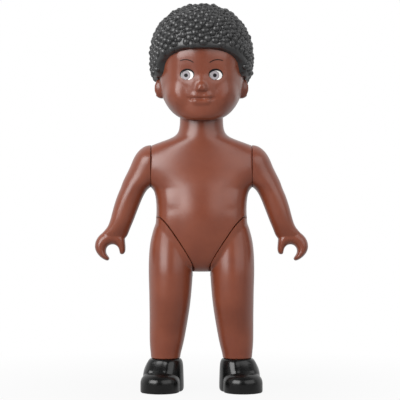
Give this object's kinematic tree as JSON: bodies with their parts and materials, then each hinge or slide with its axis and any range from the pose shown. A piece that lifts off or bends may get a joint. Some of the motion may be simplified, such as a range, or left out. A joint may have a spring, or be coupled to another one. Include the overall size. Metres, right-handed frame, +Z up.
{
  "type": "jointed plastic doll",
  "caption": "Standing plastic play doll with a turning head, moulded curly hair, swinging arms with C-grip hands, slanted hip joints and black shoes.",
  "frame": {"origin": "on the floor, at the middle of the doll's outline from above", "axes": "+Z up along the standing doll, face towards -Y, the doll's left side at +X"},
  "size_m": [0.0856, 0.0432, 0.1544],
  "materials": {
    "skin_plastic": "satin moulded",
    "hair_plastic": "satin moulded curls",
    "shoe_plastic": "polished",
    "peg_plastic": "unpainted"
  },
  "bodies": {
    "torso": {"torso_front": "skin_plastic", "torso_back": "skin_plastic", "neck_stud": "peg_plastic"},
    "head": {"head_shell": "skin_plastic", "hair_cap": "hair_plastic"},
    "left_arm": {"left_arm": "skin_plastic"},
    "right_arm": {"right_arm": "skin_plastic"},
    "left_leg": {"left_hip_peg": "peg_plastic", "left_leg_front": "skin_plastic", "left_leg_back": "skin_plastic", "left_shoe": "shoe_plastic"},
    "right_leg": {"right_hip_peg": "peg_plastic", "right_leg_front": "skin_plastic", "right_leg_back": "skin_plastic", "right_shoe": "shoe_plastic"}
  },
  "joints": [
    {"name": "head_turn", "type": "hinge", "parent": "torso", "child": "head", "pos_m": [0, -0.00096, 0.1123], "axis": [0, 0, 1], "continuous": true},
    {"name": "left_shoulder", "type": "hinge", "parent": "torso", "child": "left_arm", "pos_m": [0.02, -0.00096, 0.0899], "axis": [-1, 0, 0], "continuous": true},
    {"name": "right_shoulder", "type": "hinge", "parent": "torso", "child": "right_arm", "pos_m": [-0.02, -0.00096, 0.0899], "axis": [-1, 0, 0], "continuous": true},
    {"name": "left_hip", "type": "hinge", "parent": "torso", "child": "left_leg", "pos_m": [0.0114, -0.00096, 0.0586], "axis": [-0.7969, 0.2756, 0.5375], "range_deg": [-25, 100]},
    {"name": "right_hip", "type": "hinge", "parent": "torso", "child": "right_leg", "pos_m": [-0.0114, -0.00096, 0.0586], "axis": [-0.7969, -0.2756, -0.5375], "range_deg": [-25, 100]}
  ]
}
